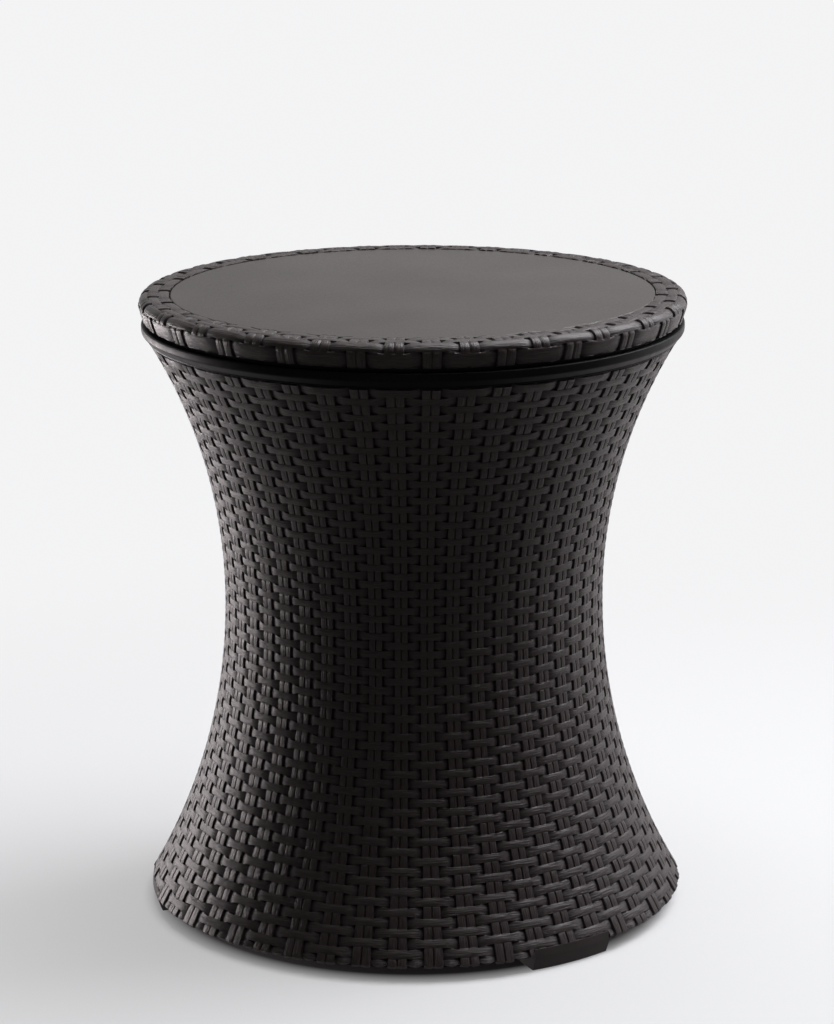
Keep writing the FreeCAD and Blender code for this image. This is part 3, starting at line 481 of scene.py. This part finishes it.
def rounded(points, radii, parts=6):
    """Outline with some of its corners rounded."""
    outline = []
    count = len(points)
    for index, corner in enumerate(points):
        radius = radii.get(index, 0)
        here = Vector(corner)
        if not radius:
            outline.append(here)
            continue
        before = (Vector(points[index - 1]) - here).normalized()
        after = (Vector(points[(index + 1) % count]) - here).normalized()
        half = before.angle(after) / 2
        reach = radius / math.tan(half)
        middle = here + (before + after).normalized() * (radius / math.sin(half))
        start = here + before * reach - middle
        end = here + after * reach - middle
        sweep = start.angle_signed(end)
        for part in range(parts + 1):
            outline.append(middle + Matrix.Rotation(-sweep * part / parts, 2) @ start)
    return outline


def lathe(name, outline, steps, closed=True, angle=2 * math.pi, bearing=0.0):
    """Turns an outline of radius and height about the axis, round a bearing if it is a part turn."""
    clear_selection()
    bpy.ops.mesh.primitive_circle_add(vertices=len(outline), radius=1)
    obj = bpy.context.object
    rename(obj, name)
    whole = angle >= 2 * math.pi
    start = math.radians(bearing) + (0 if whole else angle / 2)
    for vertex, corner in zip(obj.data.vertices, outline):
        vertex.co = (corner[0] * math.cos(start), corner[0] * math.sin(start), corner[1])
    if not closed:
        last = len(outline) - 1
        for edge in obj.data.edges:
            edge.select = set(edge.vertices) == {0, last}
        edit(obj, "EDGE", lambda: bpy.ops.mesh.delete(type="EDGE"))
    ends = [] if whole else [bpy.ops.mesh.edge_face_add]
    edit(obj, "VERT", select_all, *ends,
         lambda: bpy.ops.mesh.spin(steps=steps, angle=angle, center=(0, 0, 0), axis=(0, 0, 1)))
    merge(obj, PIECE_MERGE)
    face_outward(obj)
    return obj


def lower_inside():
    """Inner face of the lower shell, with its hem flange and its waist flange."""
    low = HEM_EDGE_Z + 0.4 * MM
    points = [(HEM_TUCK_R + 4 * MM, low), (HEM_FLANGE_R, low), (HEM_FLANGE_R, HEM_FLANGE_TOP_Z)]
    heights = [HEM_FLANGE_TOP_Z + (WAIST_FLANGE_Z - HEM_FLANGE_TOP_Z) * step / 40 for step in range(41)]
    points += [(body_radius(z) - WALL, z) for z in heights]
    points += [(WAIST_FLANGE_R, WAIST_FLANGE_Z), (WAIST_FLANGE_R, WAIST_Z)]
    outline = rounded(points, {1: 0.6 * MM, 2: 0.6 * MM, 3: 3 * MM})
    lining = lathe("lower_inside", outline, steps=144, closed=False)
    flip(lining)
    smooth(lining, 35)
    return lining


def upper_inside():
    """Copy of the upper shell without the outer faces that the weave takes the place of."""
    activate(frame["nodes"]["upper_body_shell"])
    bpy.ops.object.duplicate()
    copy = bpy.context.object
    bpy.ops.object.parent_clear(type="CLEAR_KEEP_TRANSFORM")
    for key in list(copy.keys()):
        del copy[key]
    rename(copy, "upper_inside")
    merge(copy, PIECE_MERGE)
    delete_faces(copy, lambda centre: math.hypot(centre.x, centre.y)
                 > body_radius(centre.z) - OUTER_FACE_DEPTH)
    smooth(copy, 30)
    return copy


def foot(number):
    """Plain foot with a tab that fills its gap in the hem, and a recess for its screw."""
    bearing = FOOT_BEARINGS[number - 1]
    outline = [(FOOT_INNER_R, 0), (FOOT_SOLE_R, 0), (FOOT_BULGE_R, HEM_EDGE_Z), (FOOT_TOP_R, FOOT_TOP_Z),
               (FOOT_TAB_R, FOOT_TOP_Z), (FOOT_TAB_R, HEM_EDGE_Z), (FOOT_INNER_R, HEM_EDGE_Z)]
    outline = rounded(outline, {0: 0.6 * MM, 1: 0.9 * MM, 2: 6 * MM})
    block = lathe(f"foot_{number}_block", outline, steps=16, angle=math.radians(FOOT_ANGLE),
                  bearing=bearing)
    turn = math.radians(bearing)
    clear_selection()
    bpy.ops.mesh.primitive_cylinder_add(
        vertices=32, radius=FOOT_RECESS_R, depth=2 * FOOT_RECESS_Z,
        location=(FOOT_SCREW_R * math.cos(turn), FOOT_SCREW_R * math.sin(turn), 0))
    drill = bpy.context.object
    activate(block)
    bpy.ops.object.modifier_add(type="BOOLEAN")
    recess = block.modifiers[-1]
    recess.operation = "DIFFERENCE"
    recess.object = drill
    bpy.ops.object.modifier_apply(modifier=recess.name)
    bpy.data.objects.remove(drill)
    smooth(block, 30)
    return block


def panel():
    """Round panel with a softened edge."""
    base = PANEL_TOP_Z - PANEL_EDGE
    points = [(0, PANEL_TOP_Z), (PANEL_R, PANEL_TOP_Z), (PANEL_R, base), (0, base)]
    disc = lathe("panel_disc", rounded(points, {1: PANEL_ROUND}), steps=192, closed=False)
    smooth(disc, 30)
    return disc


def bucket_radius(z):
    """Radius of the bucket's inner wall."""
    flare = UPPER_FLARE_R + BUCKET_GAP
    return WAIST_R + UPPER_FLARE_R - math.sqrt(flare ** 2 - (z - WAIST_Z) ** 2)


def bucket():
    """Tub with a rounded foot, a rolled lip and the collar that shows under the top."""
    floor = BUCKET_FLOOR_Z
    base = floor + BUCKET_WALL_RISE
    heights = [base + (LIP_TOP_Z - base) * step / 24 for step in range(25)]
    inner = [(bucket_radius(z), z) for z in heights]
    outer = [(bucket_radius(z) + BUCKET_WALL, z) for z in reversed(heights[:-2])]
    points = [(BUCKET_COLUMN_R, floor), (BUCKET_FOOT_R, floor), (BUCKET_FOOT_R, floor + BUCKET_FOOT_RISE)]
    points += inner
    lip = len(points)
    points += [(COLLAR_R, LIP_TOP_Z), (COLLAR_R, LIP_TOP_Z - COLLAR_STRAIGHT),
               (COLLAR_SKIRT_R, SHELL_TOP_Z + COLLAR_SKIRT_RISE), (COLLAR_SKIRT_R, SHELL_TOP_Z),
               (COLLAR_INNER_R, SHELL_TOP_Z), (COLLAR_INNER_R, LIP_TOP_Z - COLLAR_WALL)]
    points += outer
    points += [(BUCKET_FOOT_R + BUCKET_WALL, floor - BUCKET_WALL), (BUCKET_COLUMN_R, floor - BUCKET_WALL)]
    radii = {1: 4 * MM, 2: 6 * MM, 3: 20 * MM, lip - 1: 2.5 * MM, lip: 1.6 * MM, lip + 1: 4 * MM,
             lip + 2: 0.5 * MM, lip + 3: 0.5 * MM}
    tub = lathe("bucket_tub", rounded(points, radii, parts=5), steps=160)
    smooth(tub, 40)
    return tub


# Materials


def add_node(tree, kind, values=None, **settings):
    """Adds a node. A value that is a socket is linked, and any other is typed in."""
    node = tree.nodes.new("ShaderNode" + kind)
    for name, setting in settings.items():
        setattr(node, name, setting)
    for name, value in (values or {}).items():
        if isinstance(value, bpy.types.NodeSocket):
            tree.links.new(value, node.inputs[name])
        else:
            node.inputs[name].default_value = value
    return node


def moulded_grain():
    """Fine grain and slow clouding of a moulded surface."""
    group = bpy.data.node_groups.new("moulded_grain", "ShaderNodeTree")
    group.interface.new_socket(name="Place", in_out="INPUT", socket_type="NodeSocketVector")
    group.interface.new_socket(name="Fine", in_out="INPUT", socket_type="NodeSocketFloat")
    group.interface.new_socket(name="Slow", in_out="INPUT", socket_type="NodeSocketFloat")
    group.interface.new_socket(name="Grain", in_out="OUTPUT", socket_type="NodeSocketFloat")
    group.interface.new_socket(name="Cloud", in_out="OUTPUT", socket_type="NodeSocketFloat")
    entry = group.nodes.new("NodeGroupInput")
    exit_node = group.nodes.new("NodeGroupOutput")
    grain = add_node(group, "TexNoise", {"Vector": entry.outputs["Place"], "Scale": entry.outputs["Fine"],
                                         "Detail": 4.0, "Roughness": 0.6})
    cloud = add_node(group, "TexNoise", {"Vector": entry.outputs["Place"], "Scale": entry.outputs["Slow"],
                                         "Detail": 2.0})
    group.links.new(grain.outputs["Fac"], exit_node.inputs["Grain"])
    group.links.new(cloud.outputs["Fac"], exit_node.inputs["Cloud"])
    return group


def new_material(name, specular=0.5):
    material = bpy.data.materials.new(name)
    material.use_nodes = True
    tree = material.node_tree
    shader = tree.nodes["Principled BSDF"]
    shader.inputs["Specular IOR Level"].default_value = specular
    return material, tree, shader


def ranged(tree, value, low, high, start=0.3, end=0.7):
    """Carries a value from one range into another."""
    node = add_node(tree, "MapRange", {"Value": value, "From Min": start, "From Max": end,
                                       "To Min": low, "To Max": high})
    return node.outputs["Result"]


def blend(tree, factor, first, second, kind="MIX"):
    """Mixes two colours, each typed in or from a socket."""
    node = add_node(tree, "Mix", data_type="RGBA", blend_type=kind)
    for socket, value in ((node.inputs["Factor"], factor), (node.inputs[6], first), (node.inputs[7], second)):
        if isinstance(value, bpy.types.NodeSocket):
            tree.links.new(value, socket)
        else:
            socket.default_value = value
    return node.outputs[2]


def add_relief(tree, shader, height, strength, distance):
    """Gives a shader a fine relief."""
    relief = add_node(tree, "Bump", {"Height": height, "Strength": strength, "Distance": distance})
    tree.links.new(relief.outputs["Normal"], shader.inputs["Normal"])


def grained_material(name, grain, dark, light, gloss, fine, slow, bump,
                     specular=0.5, metal=0.0, stretch=None):
    """Moulded or rolled surface: two tones, uneven gloss and a fine relief."""
    material, tree, shader = new_material(name, specular)
    place = add_node(tree, "TexCoord").outputs["Object"]
    if stretch:
        place = add_node(tree, "Mapping", {"Vector": place, "Scale": stretch}).outputs["Vector"]
    surface = add_node(tree, "Group", {"Place": place, "Fine": fine, "Slow": slow}, node_tree=grain)
    tone = blend(tree, ranged(tree, surface.outputs["Cloud"], 0, 1), (*dark, 1), (*light, 1))
    tree.links.new(tone, shader.inputs["Base Color"])
    tree.links.new(ranged(tree, surface.outputs["Grain"], *gloss), shader.inputs["Roughness"])
    shader.inputs["Metallic"].default_value = metal
    add_relief(tree, shader, surface.outputs["Grain"], 0.6, bump * MM)
    return material


def panel_material(grain):
    """Leather-grained panel."""
    material, tree, shader = new_material("panel_resin")
    place = add_node(tree, "TexCoord").outputs["Object"]
    surface = add_node(tree, "Group", {"Place": place, "Fine": 700, "Slow": 9}, node_tree=grain)
    cells = add_node(tree, "TexVoronoi", {"Vector": place, "Scale": 420.0}, feature="SMOOTH_F1")
    cloud = ranged(tree, surface.outputs["Cloud"], 0, 1)
    tone = blend(tree, cloud, (0.044, 0.036, 0.034, 1), (0.058, 0.049, 0.046, 1))
    tree.links.new(tone, shader.inputs["Base Color"])
    tree.links.new(ranged(tree, surface.outputs["Grain"], 0.4, 0.52), shader.inputs["Roughness"])
    height = add_node(tree, "Math", {0: cells.outputs["Distance"], 1: surface.outputs["Grain"]},
                      operation="ADD")
    add_relief(tree, shader, height.outputs["Value"], 0.35, 0.12 * MM)
    return material


def woven_material(grain):
    """Strands with grain along their length, duller down in the crossings and darkened there by painted
    shade.
    """
    material, tree, shader = new_material("woven_resin")
    strand = add_node(tree, "UVMap", uv_map="strand").outputs["UV"]
    stake = add_node(tree, "Attribute", attribute_name="stake").outputs["Fac"]
    height = add_node(tree, "Attribute", attribute_name="height").outputs["Fac"]
    along_band = add_node(tree, "VectorMath", {0: strand, 1: (1.7, 6.5, 1)}, operation="MULTIPLY")
    along_stake = add_node(tree, "VectorMath", {0: strand, 1: (22.0, 0.8, 1)}, operation="MULTIPLY")
    place = add_node(tree, "Mix", {"Factor": stake}, data_type="VECTOR")
    tree.links.new(along_band.outputs["Vector"], place.inputs[4])
    tree.links.new(along_stake.outputs["Vector"], place.inputs[5])
    surface = add_node(tree, "Group", {"Place": place.outputs[1], "Fine": 1.0, "Slow": 0.22}, node_tree=grain)
    streak = ranged(tree, surface.outputs["Grain"], 0, 1)
    tone = blend(tree, streak, (0.022, 0.015, 0.015, 1), (0.06, 0.043, 0.044, 1))
    tone = blend(tree, ranged(tree, surface.outputs["Cloud"], 0, 0.35), tone, (0.032, 0.02, 0.02, 1))
    # Painted shade: the colour is darkened by the strand's height, down to a twentieth in the deepest
    # crossings, where shade would fall
    depth = ranged(tree, height, 0.05, 1.0, -2.2, 0.9)
    tree.links.new(blend(tree, 1.0, tone, depth, "MULTIPLY"), shader.inputs["Base Color"])
    shine = ranged(tree, surface.outputs["Grain"], 0.33, 0.46)
    dull = add_node(tree, "Math", {0: ranged(tree, height, 0.45, 0.0, -2.2, 0.4), 1: shine}, operation="ADD")
    tree.links.new(dull.outputs["Value"], shader.inputs["Roughness"])
    add_relief(tree, shader, surface.outputs["Grain"], 1.0, 0.9 * MM)
    return material


# Stage


def add_camera():
    """Camera fitted to the photograph."""
    distance = 3.340
    elevation = 0.2689
    focal_px = 3627.3
    target_px = (413.53, 598.92)
    middle_px = (417.0, 512.0)
    roll = math.radians(0.211)
    target = Vector((0, 0, 0.280))
    place = target + distance * Vector((0, -math.cos(elevation), math.sin(elevation)))
    pitch = elevation - math.atan((target_px[1] - middle_px[1]) / focal_px)
    yaw = math.atan((target_px[0] - middle_px[0]) / focal_px)
    turn = (Matrix.Rotation(yaw, 3, "Z") @ Matrix.Rotation(math.pi / 2 - pitch, 3, "X")
            @ Matrix.Rotation(-roll, 3, "Z"))
    bpy.ops.object.camera_add(location=place, rotation=turn.to_euler())
    camera = bpy.context.object
    camera.data.sensor_width = 36
    camera.data.lens = focal_px / 1024 * camera.data.sensor_width
    camera.data.clip_end = 100
    bpy.context.scene.camera = camera


def add_light(name, place, size, power, colour=(1, 1, 1)):
    """Soft lamp turned towards the table."""
    direction = LIGHT_AIM - Vector(place)
    bpy.ops.object.light_add(type="AREA", location=place,
                             rotation=direction.to_track_quat("-Z", "Y").to_euler())
    light = bpy.context.object
    light.name = name
    light.data.shape = "RECTANGLE"
    light.data.size = size[0]
    light.data.size_y = size[1]
    light.data.energy = power
    light.data.color = colour


def add_world():
    """White behind the table to the eye and in reflections, and dim as a light."""
    world = bpy.data.worlds.new("studio")
    bpy.context.scene.world = world
    world.use_nodes = True
    tree = world.node_tree
    path = add_node(tree, "LightPath")
    way = add_node(tree, "SeparateXYZ", {"Vector": add_node(tree, "TexCoord").outputs["Generated"]})
    back = ranged(tree, way.outputs["Y"], 0, 1, -0.1, 0.5)
    behind = blend(tree, back, (0.05, 0.05, 0.05, 1), (0.5, 0.5, 0.5, 1))
    mirrored = add_node(tree, "Math", {0: path.outputs["Is Glossy Ray"],
                                       1: path.outputs["Is Transmission Ray"]}, operation="MAXIMUM")
    light = blend(tree, mirrored.outputs["Value"], (0.043, 0.041, 0.042, 1), behind)
    seen = blend(tree, path.outputs["Is Camera Ray"], light, (0.92, 0.92, 0.93, 1))
    tree.links.new(seen, tree.nodes["Background"].inputs["Color"])


def add_floor():
    """Pale floor that keeps the table's shadow and runs out into white."""
    bpy.ops.mesh.primitive_plane_add(size=60, location=(0, 0, 0))
    floor = bpy.context.object
    floor.name = "floor"
    material = bpy.data.materials.new("floor")
    material.use_nodes = True
    tree = material.node_tree
    tree.nodes.remove(tree.nodes["Principled BSDF"])
    place = add_node(tree, "TexCoord").outputs["Object"]
    reach = add_node(tree, "VectorMath", {0: place}, operation="LENGTH")
    hem = ranged(tree, reach.outputs["Value"], 0, 0.48, 0.225, 0.255)
    far = add_node(tree, "MapRange", {"Value": reach.outputs["Value"], "From Min": 0.3, "From Max": 1.3,
                                      "To Min": hem}, interpolation_type="SMOOTHSTEP").outputs["Result"]
    near = add_node(tree, "BsdfDiffuse", {"Color": (0.8, 0.8, 0.81, 1)})
    white = add_node(tree, "Emission", {"Color": (0.9, 0.9, 0.91, 1)})
    seen = add_node(tree, "MixShader", {0: far, 1: near.outputs["BSDF"], 2: white.outputs["Emission"]})
    lit = add_node(tree, "BsdfDiffuse", {"Color": (0.28, 0.28, 0.28, 1)})
    # Painted reflection: to glossy rays the floor glows instead of being lit, dark in front of the table and
    # pale, slightly pink, behind it
    way = add_node(tree, "SeparateXYZ", {"Vector": place})
    back = ranged(tree, way.outputs["Y"], 0, 1, -0.3, 0.35)
    behind = blend(tree, back, (0.11, 0.1, 0.1, 1), (0.92, 0.87, 0.88, 1))
    mirrored = add_node(tree, "Emission", {"Color": behind})
    path = add_node(tree, "LightPath")
    unseen = add_node(tree, "MixShader", {0: path.outputs["Is Glossy Ray"], 1: lit.outputs["BSDF"],
                                          2: mirrored.outputs["Emission"]})
    mix = add_node(tree, "MixShader", {0: path.outputs["Is Camera Ray"], 1: unseen.outputs["Shader"],
                                       2: seen.outputs["Shader"]})
    clear = add_node(tree, "BsdfTransparent")
    below = add_node(tree, "NewGeometry").outputs["Backfacing"]
    shown = add_node(tree, "MixShader", {0: below, 1: mix.outputs["Shader"], 2: clear.outputs["BSDF"]})
    tree.links.new(shown.outputs["Shader"], tree.nodes["Material Output"].inputs["Surface"])
    floor.data.materials.append(material)


grain = moulded_grain()
woven = woven_material(grain)
inside = grained_material(
    "inside_resin", grain, dark=(0.016, 0.013, 0.012), light=(0.024, 0.02, 0.019), gloss=(0.5, 0.65),
    fine=260, slow=12, bump=0.1)
foot_resin = grained_material(
    "foot_resin", grain, dark=(0.04, 0.031, 0.031), light=(0.054, 0.042, 0.042), gloss=(0.42, 0.55),
    fine=800, slow=25, bump=0.08)
panel_resin = panel_material(grain)
bucket_resin = grained_material(
    "bucket_resin", grain, dark=(0.006, 0.006, 0.0065), light=(0.01, 0.01, 0.0105), gloss=(0.34, 0.44),
    fine=150, slow=8, bump=0.01, specular=0.08)
inner_resin = grained_material(
    "inner_resin", grain, dark=(0.026, 0.022, 0.021), light=(0.033, 0.029, 0.028), gloss=(0.36, 0.48),
    fine=600, slow=15, bump=0.05)
bearing_resin = grained_material(
    "bearing_resin", grain, dark=(0.055, 0.055, 0.057), light=(0.064, 0.064, 0.066), gloss=(0.34, 0.46),
    fine=500, slow=20, bump=0.03)
seal_rubber = grained_material(
    "seal_rubber", grain, dark=(0.017, 0.017, 0.018), light=(0.023, 0.023, 0.024), gloss=(0.65, 0.82),
    fine=900, slow=30, bump=0.06)
steel = grained_material(
    "fastener_steel", grain, dark=(0.56, 0.56, 0.57), light=(0.66, 0.66, 0.67), gloss=(0.24, 0.42),
    fine=120, slow=40, bump=0.02, metal=1.0, stretch=(1, 8, 8))

dress(upper_inside(), "base", "woven_resin", inside, "upper_body_shell")
dress(lower_inside(), "base", "woven_resin", inside, "lower_body_shell")
dress(lower_weave(), "base", "woven_resin", woven, "lower_body_shell")
dress(upper_weave(), "base", "woven_resin", woven, "upper_body_shell")
dress(rim_weave(), "top", "woven_resin", woven, "top_rim")
for number in (1, 2, 3):
    dress(foot(number), "base", "foot_resin", foot_resin, f"foot_{number}")
dress(panel(), "top", "panel_resin", panel_resin, "top_panel")
dress(bucket(), "base", "bucket_resin", bucket_resin, "ice_bucket")

slots = {subpart["node"]: subpart["material_slot"] for subpart in frame["record"]["subparts"]}
finishes = {"inner_resin": inner_resin, "bearing_resin": bearing_resin, "seal_rubber": seal_rubber,
            "fastener_steel": steel}
for name, node in frame["nodes"].items():
    if not node.hide_render:
        node.data.materials.clear()
        node.data.materials.append(finishes[slots[name]])

add_camera()
add_floor()
add_world()
add_light("left", (-1.5, 0.9, 0.12), (1.2, 0.24), 12, (1, 0.91, 0.92))
add_light("right", (1.9, 1.3, 1.1), (1.2, 1.4), 8, (0.93, 0.95, 1))
add_light("right_above", (1.6, 0.6, 2.2), (1.5, 1.5), 55, (0.95, 0.96, 1))
add_light("top", (0.4, 0.2, 2.6), (2.0, 2.0), 40)
bpy.context.scene.view_settings.view_transform = "Standard"
